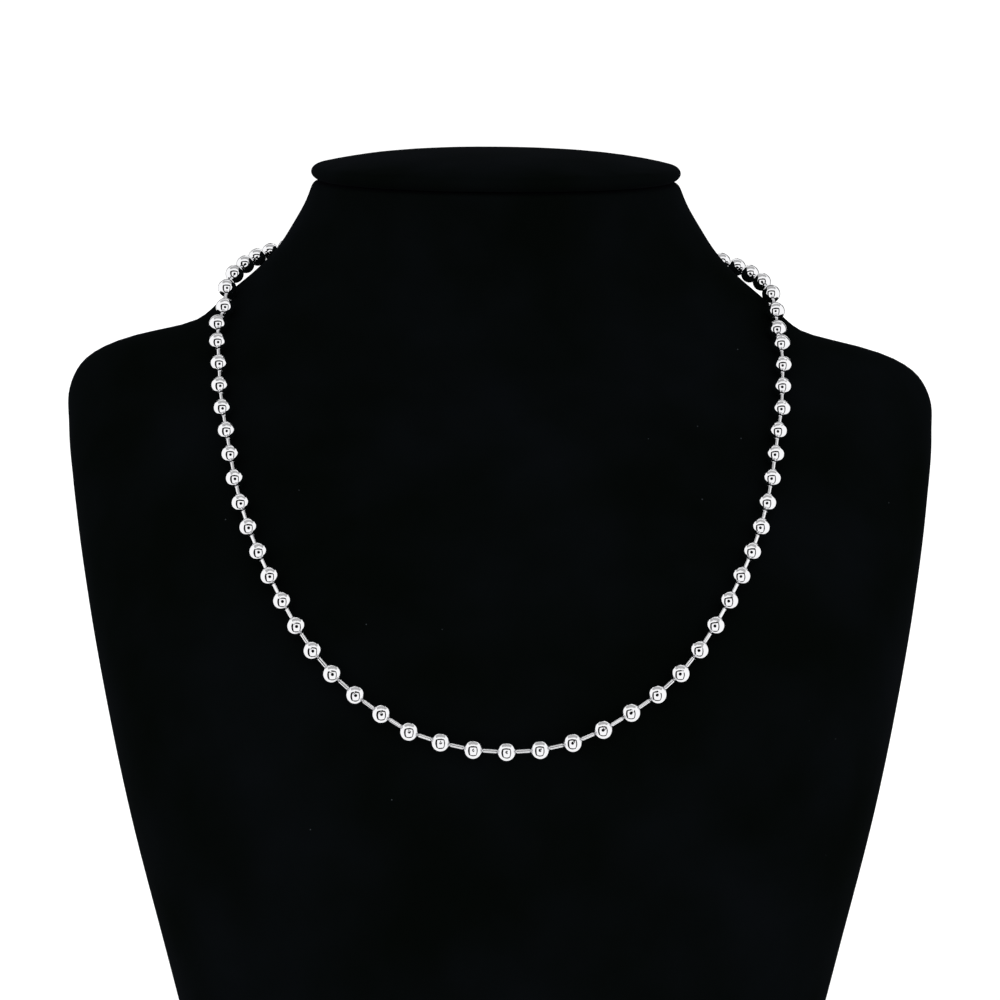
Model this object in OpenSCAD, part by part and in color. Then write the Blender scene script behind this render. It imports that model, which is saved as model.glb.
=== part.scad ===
// A ball chain necklace on a velvet neck bust.
// Millimetres, +Z up, the front faces -Y, the origin is at the middle of the base.

/* [Bust] */
// Width across the shoulders
shoulder_w = 187; // [165:1:215]
// Height from the base to the foot of the neck
body_h = 172; // [150:1:200]
// How far the chest reaches in front of the origin
chest_reach = 63.5; // [55:0.1:75]
// How far the back reaches behind the origin
back_reach = 63.4; // [52:0.2:74]
// Roundness of the edge at the base
base_edge_r = 3; // [1:0.5:6]
// Width of the neck under the cap
neck_w = 80.8; // [72:0.2:90]
// Depth of the neck under the cap
neck_d = 68; // [60:1:76]
// Height of the neck, from its foot to its rim
neck_h = 32; // [26:1:42]
// How far the neck's middle stands behind the origin
neck_back = 30.5; // [22:0.1:36]
// Forward tilt of the neck's rim and of the cap, in degrees
rim_tilt = 5; // [0:0.5:8]
// Sideways tilt of the neck's rim and of the cap, lower on the right, in degrees
side_tilt = 0.4; // [-3:0.1:3]
// Roundness of the edge at the neck's rim
rim_edge_r = 1.2; // [0.4:0.1:2]
// How much lower the right shoulder is than the left
shoulder_drop = 3.4; // [-6:0.2:6]
// How far the neck leans to the left
neck_lean = 1.4; // [-4:0.1:4]

/* [Cap] */
// Thickness of the cap at its edge
cap_t = 3.7; // [2.6:0.1:5]
// How far in the rounding of the cap's edge reaches
cap_edge = 2.6; // [1.5:0.1:4]
// How far the cap's edge stands out past the neck's rim
cap_proud = 0.5; // [0:0.1:2]
// Rise of the cap's padded top above its edge
cap_crown = 2.9; // [0:0.1:4]
// Gap between the cap and the neck's rim
cap_gap = 0.2; // [0.1:0.05:0.5]

/* [Ball chain] */
// Diameter of a ball
ball_d = 4; // [3.6:0.1:4.6]
// Wall of a hollow ball
ball_wall = 0.3; // [0.2:0.05:0.4]
// Distance from ball to ball, before the loop is closed
ball_pitch = 6.2; // [5.8:0.1:7]
// Diameter of the bar between two balls
bar_d = 0.8; // [0.6:0.05:0.9]
// Diameter of the head at each end of a bar
head_d = 1.3; // [1.25:0.05:1.4]
// Gap round a bar in its hole
hole_gap = 0.15; // [0.1:0.01:0.2]
// Gap between pieces of metal that hang in each other
play = 0.18; // [0.1:0.01:0.2]
// Gap between the balls and the velvet they lie on
seat_gap = 0.3; // [0.1:0.05:0.6]
// How far the middle ball sits to the right of the centre line
slip = 0.8; // [-3:0.1:3]

/* [Fastening behind the neck] */
// Radius of an end pin's eye, at the middle of its wire
eye_r = 1.1; // [1:0.05:1.4]
// Wire of the eyes
eye_wire_d = 0.7; // [0.5:0.05:0.8]
// Gap between a ball and the eye that hangs from it, besides the play
eye_gap = 0.2; // [0.1:0.05:0.5]
// Radius of a jump ring, at the middle of its wire
ring_r = 1.6; // [1.5:0.05:1.8]
// Wire of the jump rings
ring_wire_d = 0.8; // [0.6:0.05:0.8]
// Outside length of an extender link
link_l = 6; // [5:0.1:7]
// Outside width of an extender link
link_w = 3.2; // [3.1:0.05:3.5]
// Wire of the extender links
link_wire_d = 0.8; // [0.6:0.05:0.8]
// Number of extender links, an even number so that the clasp lies flat
link_count = 12; // [8:2:14]
// Outside length of the clasp's hook
hook_l = 7.8; // [7:0.1:10]
// Outside width of the clasp's hook
hook_w = 5.2; // [4.8:0.1:6]
// Gap on each side of the hook in the link that hangs on it
hook_gap = 0.2; // [0.15:0.01:0.25]
// Radius of the clasp's tail ring, at the middle of its wire
tail_r = 1.1; // [1:0.05:1.4]
// Wire of the clasp's tail ring
tail_wire_d = 0.8; // [0.6:0.05:0.9]

/* [Hidden] */

velvet = "#0c0d12";
silver = "#d9dce0";

// Sections of the body, from the base up. Columns: height as a share of body_h, half width as a share of
// half shoulder_w, front as a share of chest_reach, back as a share of back_reach, place of the widest
// points as a share of neck_back, squareness of the outline (2 is an ellipse).
BODY_ROWS = [
    [0.000, 0.664, 0.87, 0.86, 0.03, 2.5],
    [0.250, 0.768, 0.97, 0.93, 0.03, 2.5],
    [0.450, 0.852, 1.00, 0.97, 0.03, 2.5],
    [0.580, 0.902, 0.97, 0.99, 0.08, 2.4],
    [0.700, 0.948, 0.797, 1.00, 0.19, 2.3],
    [0.800, 0.979, 0.573, 1.00, 0.29, 2.2],
    [0.880, 0.997, 0.37, 1.00, 0.39, 2.0],
    [0.930, 0.993, 0.22, 1.00, 0.46, 1.9],
    [0.965, 0.943, 0.115, 1.00, 0.51, 1.85],
    [0.985, 0.858, 0.085, 1.00, 0.54, 1.8],
    [1.000, 0.717, 0.075, 1.00, 0.56, 1.8],
];

// Sections of the neck, from its foot up. Columns: height as a share of neck_h, half width as a share of
// half neck_w, front and back from the neck's middle as shares of half neck_d, place of the widest points
// as a share of neck_back, squareness.
NECK_ROWS = [
    [0.09, 1.565, 0.99, 0.95, 0.59, 1.85],
    [0.23, 1.45, 0.97, 0.94, 0.67, 1.9],
    [0.38, 1.31, 0.95, 0.93, 0.79, 1.95],
    [0.54, 1.195, 0.95, 0.92, 0.90, 2.0],
    [0.70, 1.115, 0.95, 0.92, 0.97, 2.0],
    [0.86, 1.042, 0.96, 0.92, 1.00, 2.05],
    [1.00, 1.00, 0.97, 0.92, 1.00, 2.1],
];

// Route of the chain on the bust, from the middle of the chest to the middle of the nape. It hangs a little
// to the right, and stands off the velvet a little more where it bridges from the shoulder to the neck.
// Columns: turn round the bust in degrees, height on the right and on the left as shares of the bust's, lift
// off the velvet as a share of ball_d.
ROUTE = [
    [0, 0.481, 0.481, 0],
    [5, 0.486, 0.488, 0],
    [10, 0.501, 0.503, 0],
    [20, 0.550, 0.557, 0],
    [30, 0.647, 0.658, 0],
    [40, 0.788, 0.793, 0],
    [45, 0.818, 0.821, 0],
    [50, 0.832, 0.831, 0],
    [60, 0.841, 0.843, 0],
    [70, 0.862, 0.867, 0.02],
    [80, 0.880, 0.884, 0.03],
    [90, 0.891, 0.896, 0.03],
    [100, 0.901, 0.907, 0.02],
    [110, 0.909, 0.914, 0.01],
    [120, 0.915, 0.919, 0],
    [135, 0.919, 0.922, 0],
    [150, 0.922, 0.924, 0],
    [165, 0.924, 0.925, 0],
    [180, 0.925, 0.925, 0],
];

// Every section in millimetres: height, half width, front, back, widest place, squareness, share of tilt
SECTIONS = concat(
    [for (r = BODY_ROWS)
        [r[0] * body_h, r[1] * shoulder_w / 2, -r[2] * chest_reach, r[3] * back_reach,
         r[4] * neck_back, r[5], 0]],
    [for (r = NECK_ROWS)
        [body_h + r[0] * neck_h, r[1] * neck_w / 2, neck_back - r[2] * neck_d / 2,
         neck_back + r[3] * neck_d / 2, r[4] * neck_back, r[5], r[0]]]
);
bust_h = body_h + neck_h;
last_section = len(SECTIONS) - 1;

// Slope of every column at each section, for a smooth curve through them
function rise(i) = (SECTIONS[i + 1] - SECTIONS[i]) / (SECTIONS[i + 1][0] - SECTIONS[i][0]);
function step(i) = SECTIONS[i + 1][0] - SECTIONS[i][0];
SLOPES = [for (i = [0:last_section])
    i == 0 ? rise(0)
    : i == last_section ? rise(i - 1)
    : (step(i) * rise(i - 1) + step(i - 1) * rise(i)) / (step(i) + step(i - 1))];

function span(z, i = 0) = i >= last_section - 1 || z < SECTIONS[i + 1][0] ? i : span(z, i + 1);

function section(z) =
    let (i = span(z), h = step(i), t = (z - SECTIONS[i][0]) / h)
    (1 + 2 * t) * pow(1 - t, 2) * SECTIONS[i] + t * pow(1 - t, 2) * h * SLOPES[i]
    + t * t * (3 - 2 * t) * SECTIONS[i + 1] + t * t * (t - 1) * h * SLOPES[i + 1];

// Point on an outline; a turn of 0 is the front, 90 the right side and 180 the back
function outline(turn, half_w, front, back, wide_at, squareness) =
    let (s = sin(turn), c = cos(turn), e = 2 / squareness)
    [half_w * sign(s) * pow(abs(s), e),
     wide_at + (c > 0 ? (front - wide_at) * pow(c, e) : (back - wide_at) * pow(-c, e))];

// How far a round edge of radius r has pulled in at a distance d from the end face
function edge_inset(d, r) = d >= r ? 0 : r - sqrt(r * r - pow(r - d, 2));

function skin(z, turn) =
    let (q = section(z),
         inset = edge_inset(z, base_edge_r) + edge_inset(bust_h - z, rim_edge_r),
         p = outline(turn, q[1] - inset, q[2] + inset, q[3] - inset, q[4], q[5]),
         side_slope = pow(z / body_h, 4) * (1 - q[6]) * shoulder_drop / shoulder_w + q[6] * tan(side_tilt))
    [p[0] - pow(z / bust_h, 4) * neck_lean, p[1],
     z + (p[1] - neck_back) * tan(rim_tilt) * q[6] - p[0] * side_slope];

function unit(v) = v / norm(v);

// The skin's direction, from points this many degrees and millimetres to each side
probe_turn = 0.5;
probe_rise = 0.3;
function skin_normal(z, turn) =
    let (across = skin(z, turn + probe_turn) - skin(z, turn - probe_turn),
         up = skin(z + probe_rise, turn) - skin(z - probe_rise, turn))
    unit(cross(across, up));

// Closed solid from rings of points, all of one length, listed from the bottom up
module loft(rings) {
    n = len(rings[0]);
    m = len(rings);
    base = m * n;
    points = concat([for (ring = rings, p = ring) p], [mid(rings[0]), mid(rings[m - 1])]);
    sides = [for (j = [0:m - 2], i = [0:n - 1])
        let (a = j * n + i, b = j * n + (i + 1) % n)
        each [[a, b + n, b], [a, a + n, b + n]]];
    ends = [for (i = [0:n - 1])
        let (k = (i + 1) % n)
        each [[base, i, k], [base + 1, base - n + k, base - n + i]]];
    polyhedron(points, concat(sides, ends));
}

function mid(ring) = [for (k = [0:2]) sum([for (p = ring) p[k]]) / len(ring)];
function sum(v, i = 0) = i >= len(v) ? 0 : v[i] + sum(v, i + 1);

// Heights of the bust's rings: fine at the round edges and over the shoulders
bust_sides = 64;
BUST_HEIGHTS = concat(
    [for (k = [0:3]) base_edge_r * (1 - cos(k * 30))],
    [for (k = [1:21]) base_edge_r + (0.8 * body_h - base_edge_r) * k / 21],
    [for (k = [1:14]) body_h * (0.8 + 0.2 * k / 14)],
    [for (k = [1:15]) body_h + (neck_h - rim_edge_r) * k / 15],
    [for (k = [1:3]) bust_h - rim_edge_r * (1 - sin(k * 30))]
);

module neck_bust() {
    color(velvet)
        loft([for (z = BUST_HEIGHTS) [for (i = [0:bust_sides - 1]) skin(z, i * 360 / bust_sides)]]);
}

module neck_cap() {
    edge_r = cap_t / 2;
    top = SECTIONS[last_section];
    half_w = neck_w / 2 + cap_proud;
    front = top[2] - neck_back - cap_proud;
    back = top[3] - neck_back + cap_proud;
    // Rings of the rounded edge, then of the padded top: inset from the edge, height
    edge = [for (a = [-90:22.5:90]) [cap_edge * (1 - cos(a)), edge_r * (1 + sin(a))]];
    pad = [for (k = [1:4])
        let (share = k / 5)
        [cap_edge + (half_w - cap_edge) * share, cap_t + cap_crown * (1 - pow(1 - share, 3))]];
    color(velvet)
        translate([-neck_lean, neck_back, bust_h])
        rotate([rim_tilt, side_tilt, 0])
        translate([0, 0, cap_gap])
        loft([for (ring = concat(edge, pad))
            let (k = 1 - ring[0] / half_w)
            [for (i = [0:bust_sides - 1])
                let (p = outline(i * 360 / bust_sides, half_w * k, front * k, back * k, 0, top[5]))
                [p[0], p[1], ring[1]]]]);
}

// The chain's track: the whole loop as a smooth curve, lifted off the skin by half a ball. A place on it is
// a length in millimetres from the middle of the chest, to the right and on round the nape.
route_last = len(ROUTE) - 1;
track_steps = 12;
LOOP = concat(
    [for (r = ROUTE) [r[0], r[1], r[3]]],
    [for (i = [route_last - 1:-1:1]) [360 - ROUTE[i][0], ROUTE[i][2], ROUTE[i][3]]]
);
loop_rows = len(LOOP);

// Row of the loop, counted on past either end
function knot(i) =
    let (turns = floor(i / loop_rows), r = LOOP[i - turns * loop_rows])
    [r[0] + 360 * turns, r[1], r[2]];

function route_at(i, t) =
    0.5 * (2 * knot(i) + (knot(i + 1) - knot(i - 1)) * t
    + (2 * knot(i - 1) - 5 * knot(i) + 4 * knot(i + 1) - knot(i + 2)) * t * t
    + (3 * knot(i) - knot(i - 1) - 3 * knot(i + 1) + knot(i + 2)) * t * t * t);

TRACK_ROUTE = [for (i = [0:loop_rows - 1], k = [0:track_steps - 1]) route_at(i, k / track_steps)];
TRACK_NORMALS = [for (r = TRACK_ROUTE) skin_normal(r[1] * bust_h, r[0])];
TRACK = [for (i = [0:len(TRACK_ROUTE) - 1])
    let (r = TRACK_ROUTE[i])
    skin(r[1] * bust_h, r[0]) + TRACK_NORMALS[i] * (ball_d / 2 + seat_gap + r[2] * ball_d)];

function track_point(list, i) = list[i % len(TRACK)];
function lengths(i = 0, done = 0) =
    i > len(TRACK) ? []
    : concat([done], lengths(i + 1, done + norm(track_point(TRACK, i + 1) - track_point(TRACK, i))));
TRACK_LENGTHS = lengths();
loop_l = TRACK_LENGTHS[len(TRACK)];

function table(list, k) = [for (i = [0:len(TRACK)]) [TRACK_LENGTHS[i], track_point(list, i)[k]]];
PLACE_TABLES = [for (k = [0:2]) table(TRACK, k)];
NORMAL_TABLES = [for (k = [0:2]) table(TRACK_NORMALS, k)];

function along(tables, s) =
    let (w = s - loop_l * floor(s / loop_l))
    [for (k = [0:2]) lookup(w, tables[k])];
function place(s) = along(PLACE_TABLES, s);
function outward(s) = along(NORMAL_TABLES, s);

// Distances from centre to centre along the fastening, each worked out from the wires that hang in
// each other and the play between them
pin_l = ball_d / 2 + play + eye_gap + eye_wire_d / 2 + eye_r;
eye_to_ring = eye_r - eye_wire_d / 2 - ring_wire_d / 2 - play + ring_r;
link_half = (link_l - link_wire_d) / 2;
ring_to_link = ring_r - ring_wire_d / 2 - link_wire_d / 2 - play + link_half;
link_pitch = 2 * link_half - link_wire_d - play;
hook_t = link_w - 2 * link_wire_d - 2 * hook_gap;
hook_half = (hook_l - hook_t) / 2;
link_to_hook = link_half - link_wire_d / 2 - hook_t / 2 - play + hook_half;
tail_at = hook_half + tail_r;
hook_to_ring = tail_at + tail_r - tail_wire_d / 2 - ring_wire_d / 2 - play + ring_r;
closure_l = 2 * pin_l + 2 * eye_to_ring + ring_to_link + (link_count - 1) * link_pitch + link_to_hook + hook_to_ring;

// The balls share what the fastening leaves of the loop
ball_count = 1 + round((loop_l - closure_l) / ball_pitch);
pitch = (loop_l - closure_l) / (ball_count - 1);
first_ball = slip - (ball_count - 1) / 2 * pitch;
last_ball = slip + (ball_count - 1) / 2 * pitch;
BALLS = [for (i = [0:ball_count - 1]) place(first_ball + i * pitch)];

// Places of the fastening's pieces, from the last ball on the right round the nape to the first ball
right_eye_at = last_ball + pin_l;
right_ring_at = right_eye_at + eye_to_ring;
first_link_at = right_ring_at + ring_to_link;
last_link_at = first_link_at + (link_count - 1) * link_pitch;
hook_at = last_link_at + link_to_hook;
left_ring_at = hook_at + hook_to_ring;
left_eye_at = left_ring_at + eye_to_ring;

// Put children at a point, with their X along one direction and their Z as near another as can be
module aim(at, along_x, near_z) {
    x = unit(along_x);
    y = unit(cross(near_z, x));
    z = cross(x, y);
    multmatrix([[x[0], y[0], z[0], at[0]], [x[1], y[1], z[1], at[1]], [x[2], y[2], z[2], at[2]], [0, 0, 0, 1]])
        children();
}

// Put children on the loop at a length, flat on the neck or standing on edge
module on_loop(s, reach, flat = true) {
    way = place(s + reach) - place(s - reach);
    out = outward(s);
    aim(place(s), way, flat ? out : cross(out, way)) children();
}

module rod(d, from, to) {
    translate([from, 0, 0])
        rotate([0, 90, 0])
        cylinder(d = d, h = to - from, $fn = 24);
}

module hoop(r, wire_d) {
    rotate_extrude($fn = 48)
        translate([r, 0])
        circle(d = wire_d, $fn = 24);
}

// A flat ring with two straight sides, by its outside length and width
module oval_link(l, w, wire_d) {
    bend_r = (w - wire_d) / 2;
    straight = l / 2 - wire_d / 2 - bend_r;
    for (side = [-1, 1]) {
        translate([side * straight, 0, 0])
            rotate([0, 0, side * 90 - 180])
            rotate_extrude(angle = 180, $fn = 48)
            translate([bend_r, 0])
            circle(d = wire_d, $fn = 24);
        translate([0, side * bend_r, 0])
            rod(wire_d, -straight, straight);
    }
}

// Head of a bar or pin, as far out in its ball as the play allows
head_at = ball_d / 2 - ball_wall - play - head_d / 2;

module chain_balls() {
    bore_d = bar_d + 2 * hole_gap;
    color(silver)
        for (i = [0:ball_count - 1]) {
            before = i == 0 ? place(left_eye_at) : BALLS[i - 1];
            after = i == ball_count - 1 ? place(right_eye_at) : BALLS[i + 1];
            out = outward(first_ball + i * pitch);
            difference() {
                aim(BALLS[i], cross(out, after - before), out) sphere(d = ball_d, $fn = 48);
                aim(BALLS[i], cross(out, after - before), out) sphere(d = ball_d - 2 * ball_wall, $fn = 48);
                for (next = [before, after])
                    aim(BALLS[i], next - BALLS[i], out) rod(bore_d, 0, ball_d);
            }
        }
}

module chain_bars() {
    color(silver)
        for (i = [0:ball_count - 2]) {
            way = BALLS[i + 1] - BALLS[i];
            aim(BALLS[i], way, outward(first_ball + i * pitch)) {
                rod(bar_d, head_at, norm(way) - head_at);
                translate([head_at, 0, 0]) sphere(d = head_d, $fn = 24);
                translate([norm(way) - head_at, 0, 0]) sphere(d = head_d, $fn = 24);
            }
        }
}

// Pin with its head in a ball at the origin and its eye along X
module end_pin(ball, eye, out) {
    l = norm(eye - ball);
    color(silver)
        aim(ball, eye - ball, out) {
            translate([head_at, 0, 0]) sphere(d = head_d, $fn = 24);
            rod(eye_wire_d, head_at, l - eye_r);
            translate([l, 0, 0]) hoop(eye_r, eye_wire_d);
        }
}

module end_pin_left() {
    end_pin(BALLS[0], place(left_eye_at), outward(left_eye_at));
}

module end_pin_right() {
    end_pin(BALLS[ball_count - 1], place(right_eye_at), outward(right_eye_at));
}

module jump_ring_left() {
    color(silver) on_loop(left_ring_at, ring_r, false) hoop(ring_r, ring_wire_d);
}

module jump_ring_right() {
    color(silver) on_loop(right_ring_at, ring_r, false) hoop(ring_r, ring_wire_d);
}

module extender_chain() {
    color(silver)
        for (i = [0:link_count - 1])
            on_loop(first_link_at + i * link_pitch, link_half, i % 2 == 0)
                oval_link(link_l, link_w, link_wire_d);
}

module clasp() {
    color(silver)
        on_loop(hook_at, hook_half, true) {
            oval_link(hook_l, hook_w, hook_t);
            translate([tail_at, 0, 0]) hoop(tail_r, tail_wire_d);
        }
}

neck_bust();
neck_cap();
chain_balls();
chain_bars();
end_pin_left();
end_pin_right();
jump_ring_left();
jump_ring_right();
extender_chain();
clasp();
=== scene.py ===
# %% [markdown]
# # A ball chain necklace on a velvet neck bust
# The metal comes from the CAD model as it is, because its balls, bars and links are exact there and
# only need a good finish. The bust and its cap are covered in cloth, so their plain CAD solids are
# replaced here by smoother pieces. Then come the camera, the floor and the lights of a small white
# studio.

from math import radians

import bpy
from mathutils import Matrix, Vector


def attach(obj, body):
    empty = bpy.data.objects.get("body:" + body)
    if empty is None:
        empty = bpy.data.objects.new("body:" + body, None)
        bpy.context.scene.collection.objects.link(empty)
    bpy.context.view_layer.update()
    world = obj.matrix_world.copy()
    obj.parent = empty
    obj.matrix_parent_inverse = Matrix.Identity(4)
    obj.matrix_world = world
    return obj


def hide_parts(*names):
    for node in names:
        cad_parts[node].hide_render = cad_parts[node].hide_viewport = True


MM = 0.001
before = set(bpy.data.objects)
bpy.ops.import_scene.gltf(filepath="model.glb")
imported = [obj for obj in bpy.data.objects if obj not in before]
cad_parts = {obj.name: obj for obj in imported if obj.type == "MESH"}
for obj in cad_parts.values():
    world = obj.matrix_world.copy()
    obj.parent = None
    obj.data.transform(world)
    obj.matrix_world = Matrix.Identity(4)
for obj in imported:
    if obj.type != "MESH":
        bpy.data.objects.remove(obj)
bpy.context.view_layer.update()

# %% [markdown]
# A photograph is matched best from its own place, so the camera comes first. The picture tells
# only roughly how far away it stood and how far it looked down. A long lens that looks down by 8
# degrees is one choice that fits.

# %% Camera
LENS_MM = 80
SENSOR_MM = 36
VIEW_CENTRE = Vector((-0.5, -57.4, 145)) * MM
VIEW_DISTANCE = 412.9 * MM
VIEW_DOWN = radians(8)

camera = bpy.data.objects.new("camera", bpy.data.cameras.new("camera"))
camera.data.lens = LENS_MM
camera.data.sensor_width = SENSOR_MM
camera.data.clip_start = 10 * MM
bpy.context.scene.collection.objects.link(camera)
bpy.context.scene.camera = camera
camera_turn = Matrix.Rotation(radians(90) - VIEW_DOWN, 4, "X")
camera_back = camera_turn @ Vector((0, 0, 1))
camera.matrix_world = Matrix.Translation(VIEW_CENTRE + camera_back * VIEW_DISTANCE) @ camera_turn
print("camera at, in mm:", [round(v / MM, 1) for v in camera.matrix_world.translation])

# %% [markdown]
# Colours are written as they look on a screen, in hex. Blender computes with linear light, so one
# function turns them. Another adds a node to a material, with its settings, its values and what is
# linked to it.

# %% Colours and nodes
def linear(hex_colour):
    channels = [int(hex_colour[i:i + 2], 16) / 255 for i in (1, 3, 5)]
    return [c / 12.92 if c <= 0.04045 else ((c + 0.055) / 1.055) ** 2.4 for c in channels] + [1]


def add(tree, kind, inputs=None, **settings):
    node = tree.nodes.new("ShaderNode" + kind)
    for name, value in settings.items():
        setattr(node, name, value)
    for name, value in (inputs or {}).items():
        if isinstance(value, bpy.types.NodeSocket):
            tree.links.new(value, node.inputs[name])
        else:
            node.inputs[name].default_value = value
    return node


def new_material(name):
    material = bpy.data.materials.new(name)
    material.use_nodes = True
    material.node_tree.nodes.clear()
    return material, material.node_tree


print("the velvet's lighter patches as linear light:", [round(c, 4) for c in linear("#080a0c")])

# %% [markdown]
# Velvet is a weave with a short, dense pile of cut threads standing on it. Seen end on, the pile
# swallows nearly all light, which makes black velvet blacker than any paint. Seen from the side,
# the threads catch some light, so edges that curve away get a faint grey bloom. Sheen is Blender's
# word for that. Patches of pile that lean another way are a little lighter, and lint always clings
# to it.

# %% Black velvet
PILE_MM = 0.45       # a real pile is nearer 0.2 mm, drawn coarser so that it shows at all
BRUSHED_MM = 30
LINT_MM = 5          # width of a cell that may hold one speck
LINT_SIZE = 0.022    # radius of a speck as a share of its cell
LINT_FROM = 0.7      # cells with a random value above this keep their speck

velvet, tree = new_material("black velvet")
place = add(tree, "TexCoord").outputs["Object"]
brushed = add(tree, "TexNoise", {"Vector": place, "Scale": 1 / (BRUSHED_MM * MM), "Detail": 3.0})
pile = add(tree, "TexNoise", {
    "Vector": place,
    "Scale": 1 / (PILE_MM * MM),
    "Detail": 2.0,
    "Roughness": 0.7,
})
shade = add(tree, "ValToRGB", {"Fac": brushed.outputs["Fac"]})
shade.color_ramp.elements[0].position = 0.35
shade.color_ramp.elements[0].color = linear("#040605")
shade.color_ramp.elements[1].position = 0.75
shade.color_ramp.elements[1].color = linear("#080a0c")
cells = add(tree, "TexVoronoi", {"Vector": place, "Scale": 1 / (LINT_MM * MM), "Randomness": 1.0})
near = add(tree, "Math", {0: cells.outputs["Distance"], 1: LINT_SIZE}, operation="LESS_THAN")
kept = add(tree, "SeparateColor", {"Color": cells.outputs["Color"]})
some = add(tree, "Math", {0: kept.outputs["Red"], 1: LINT_FROM}, operation="GREATER_THAN")
lint = add(tree, "Math", {0: near.outputs[0], 1: some.outputs[0]}, operation="MULTIPLY")
colour = add(tree, "Mix", {"Factor": lint.outputs[0], "A": shade.outputs["Color"], "B": linear("#3c4044")},
             data_type="RGBA")
bump = add(tree, "Bump", {"Height": pile.outputs["Fac"], "Strength": 0.6, "Distance": 0.1 * MM})
cloth = add(tree, "BsdfPrincipled", {
    "Base Color": colour.outputs["Result"],
    "Roughness": 1.0,
    "Specular IOR Level": 0.0,
    "Sheen Weight": 0.015,
    "Sheen Roughness": 0.3,
    "Sheen Tint": linear("#9c9cb0"),
    "Normal": bump.outputs["Normal"],
})
add(tree, "OutputMaterial", {"Surface": cloth.outputs["BSDF"]})
print("velvet nodes:", len(tree.nodes))

# %% [markdown]
# The balls and bars are polished until they mirror the whole room. A mirror has no look of its own,
# so the greys in it come from the studio further down. Balls formed from thin metal are never quite
# true, and a faint ripple of the surface makes each one bend its reflections in its own way.

# %% Polished silver
RIPPLE_MM = 1.1

silver, tree = new_material("polished silver")
place = add(tree, "TexCoord").outputs["Object"]
ripple = add(tree, "TexNoise", {"Vector": place, "Scale": 1 / (RIPPLE_MM * MM), "Detail": 2.0})
bump = add(tree, "Bump", {"Height": ripple.outputs["Fac"], "Strength": 0.35, "Distance": 0.06 * MM})
metal = add(tree, "BsdfPrincipled", {
    "Base Color": linear("#ececee"),
    "Metallic": 1.0,
    "Roughness": 0.03,
    "Normal": bump.outputs["Normal"],
})
add(tree, "OutputMaterial", {"Surface": metal.outputs["BSDF"]})
METAL_NODES = ["chain_balls", "chain_bars", "end_pin_left", "end_pin_right",
               "jump_ring_left", "jump_ring_right", "extender_chain", "clasp"]
for name in METAL_NODES:
    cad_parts[name].material_slots[0].material = silver
print("silver on", len(METAL_NODES), "nodes")

# %% [markdown]
# The bust is a stiff form with velvet stretched over it. Its CAD solid has flat faces of a few
# millimetres. A copy of it is merged, its triangles are joined to quads, and Subdivision Surface
# rounds it.

# %% Bust and cap
def only(piece):
    bpy.ops.object.select_all(action="DESELECT")
    piece.select_set(True)
    bpy.context.view_layer.objects.active = piece


def smooth_copy(node, name, levels):
    piece = bpy.data.objects.new(name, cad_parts[node].data.copy())
    bpy.context.scene.collection.objects.link(piece)
    only(piece)
    bpy.ops.mesh.customdata_custom_splitnormals_clear()
    bpy.ops.object.mode_set(mode="EDIT")
    bpy.ops.mesh.select_all(action="SELECT")
    bpy.ops.mesh.remove_doubles(threshold=0.001 * MM)
    bpy.ops.mesh.tris_convert_to_quads(face_threshold=radians(60), shape_threshold=radians(60))
    bpy.ops.object.mode_set(mode="OBJECT")
    bpy.ops.object.shade_smooth()
    rounding = piece.modifiers.new("rounding", "SUBSURF")
    rounding.levels = levels
    rounding.render_levels = levels
    bpy.ops.object.modifier_apply(modifier=rounding.name)
    return piece


velvet_bust = smooth_copy("neck_bust", "velvet_bust", 1)
velvet_cap = smooth_copy("neck_cap", "velvet_cap", 1)
print("bust faces:", len(velvet_bust.data.polygons), "cap faces:", len(velvet_cap.data.polygons))

# %% [markdown]
# The cap is taken to have thin wadding under its velvet, so its top swells a little. Cloth with air
# pressure inside does that. The underside is held where it is, the top starts slightly too low, and
# no point may rise far, so the cap keeps its size.

# %% Padded cap
PAD_SLACK = 0.05 * MM    # how far below its place the top starts
PAD_RISE = 0.5 * MM      # how far a point may move
PAD_FRAMES = 20
FACES_UP = 0.1           # points whose normal rises more than this are free to move

held = velvet_cap.vertex_groups.new(name="held")
for vertex in velvet_cap.data.vertices:
    if vertex.normal.z < FACES_UP:
        held.add([vertex.index], 1, "REPLACE")
    else:
        vertex.co -= vertex.normal * vertex.normal.z * PAD_SLACK
start = [vertex.co.copy() for vertex in velvet_cap.data.vertices]

only(velvet_cap)
swell = velvet_cap.modifiers.new("swell", "CLOTH")
swell.settings.quality = 5
swell.settings.use_pressure = True
swell.settings.uniform_pressure_force = 4
swell.settings.effector_weights.gravity = 0
swell.settings.vertex_group_mass = "held"
for number in range(1, PAD_FRAMES + 1):
    bpy.context.scene.frame_set(number)
bpy.ops.object.modifier_apply(modifier=swell.name)
bpy.context.scene.frame_set(1)
velvet_cap.vertex_groups.clear()

most = 0
for vertex, was in zip(velvet_cap.data.vertices, start):
    move = vertex.co - was
    most = max(most, move.length)
    if move.length > PAD_RISE:
        vertex.co = was + move * (PAD_RISE / move.length)
print("the cap's top rose by up to", round(most / MM, 2), "mm")

# %% [markdown]
# Both pieces get the velvet, and take the places of the plain CAD solids.

# %% Velvet on both
for piece, node in ((velvet_bust, "neck_bust"), (velvet_cap, "neck_cap")):
    piece.data.materials.clear()
    piece.data.materials.append(velvet)
    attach(piece, "root")
    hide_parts(node)
print("velvet on", velvet_bust.name, "and", velvet_cap.name)

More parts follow.
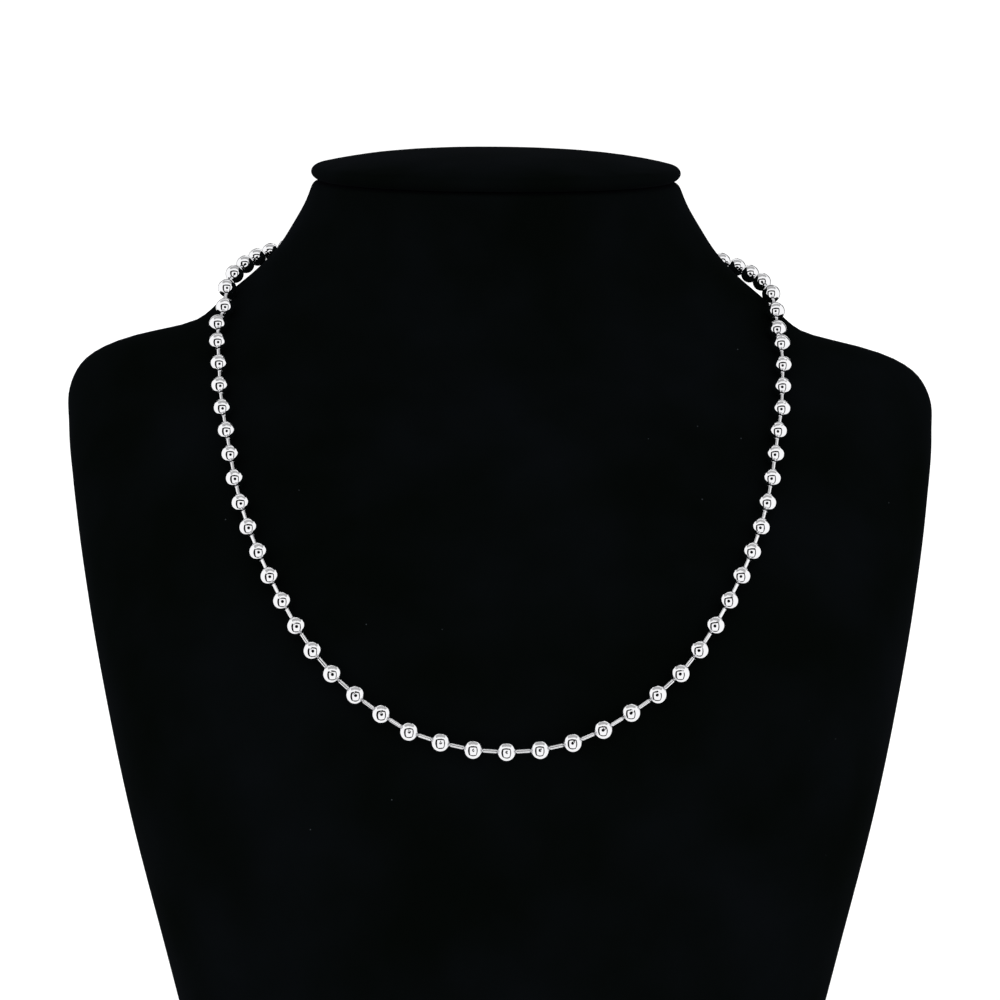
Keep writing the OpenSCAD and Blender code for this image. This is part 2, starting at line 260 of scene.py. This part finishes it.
# %% [markdown]
# Silver jewellery is often photographed in a tent of white cloth, so that it mirrors white from
# nearly every side. A white world does the same here. What isn't white draws the dark lines in the
# balls: the lens makes the dot in the middle, black edges round the tent's opening make the
# squarish ring, and a grey panel overhead makes the arch. They show in reflections only, so they
# cast no shadow on the velvet. A second opening at the back gives the fastening something to
# mirror.

# %% Studio
FLOOR_M = 8

bpy.context.scene.view_settings.view_transform = "Standard"

world = bpy.data.worlds.new("white studio")
bpy.context.scene.world = world
world.use_nodes = True
world.node_tree.nodes["Background"].inputs["Color"].default_value = linear("#ffffff")
world.node_tree.nodes["Background"].inputs["Strength"].default_value = 1.12

paper, tree = new_material("white paper floor")
sheet = add(tree, "BsdfPrincipled", {
    "Base Color": linear("#f4f4f4"),
    "Roughness": 0.9,
    "Emission Color": linear("#ffffff"),
    "Emission Strength": 0.25,
})
add(tree, "OutputMaterial", {"Surface": sheet.outputs["BSDF"]})

bpy.ops.object.select_all(action="DESELECT")
bpy.ops.mesh.primitive_plane_add(size=FLOOR_M)
floor = bpy.context.active_object
floor.name = "floor"
floor.data.materials.append(paper)
floor.visible_glossy = False


def board(name, hex_colour):
    material, tree = new_material(name)
    matt = add(tree, "BsdfDiffuse", {"Color": linear(hex_colour)})
    add(tree, "OutputMaterial", {"Surface": matt.outputs["BSDF"]})
    return material


black_board = board("black board", "#060606")
grey_board = board("grey board", "#a8a8a8")


def reflected_only(thing, name, material, place):
    thing.name = name
    thing.data.materials.append(material)
    thing.matrix_world = place
    thing.visible_camera = False
    thing.visible_diffuse = False
    thing.visible_shadow = False


# Lens cards and boards, in metres. Those at the front stand just behind the camera's place.
LENS_R = 0.14
CARD_BEHIND = 0.03
EDGES_BEHIND = 0.02
PANEL_WIDTH = 1.7
PANEL_DEPTH = 0.7
PANEL_AT = (0, 0.1, 1.1)
front = VIEW_CENTRE + camera_back * VIEW_DISTANCE

# Edges of the tent's opening in metres from the lens. Columns: name, left, bottom, right, top
OPENING_EDGES = [
    ("upper_edge", -0.7, 0.25, 0.52, 0.46),
    ("left_edge", -0.7, -0.9, -0.34, 0.25),
    ("right_edge", 0.35, -0.9, 0.52, 0.25),
    ("lower_edge", -0.34, -1.0, 0.35, -0.6),
]


def flat_board(name, width, depth, material, place):
    bpy.ops.object.select_all(action="DESELECT")
    bpy.ops.mesh.primitive_plane_add(size=1)
    bpy.ops.transform.resize(value=(width, depth, 1))
    bpy.ops.object.transform_apply(scale=True)
    reflected_only(bpy.context.active_object, name, material, place)


for side, turn in (("front", 0), ("back", 180)):
    lens = Matrix.Rotation(radians(turn), 4, "Z") @ Matrix.Translation(front) @ camera_turn
    bpy.ops.object.select_all(action="DESELECT")
    bpy.ops.mesh.primitive_circle_add(vertices=48, radius=LENS_R, fill_type="NGON")
    card = lens @ Matrix.Translation((0, 0, CARD_BEHIND))
    reflected_only(bpy.context.active_object, side + "_lens_card", black_board, card)
    for name, left, bottom, right, top in OPENING_EDGES:
        middle = Matrix.Translation(((left + right) / 2, (bottom + top) / 2, EDGES_BEHIND))
        flat_board(side + "_" + name, right - left, top - bottom, black_board, lens @ middle)
flat_board("overhead_panel", PANEL_WIDTH, PANEL_DEPTH, grey_board, Matrix.Translation(PANEL_AT))
print("stage pieces: floor, overhead panel, and two openings, each a lens card and",
      len(OPENING_EDGES), "edges")
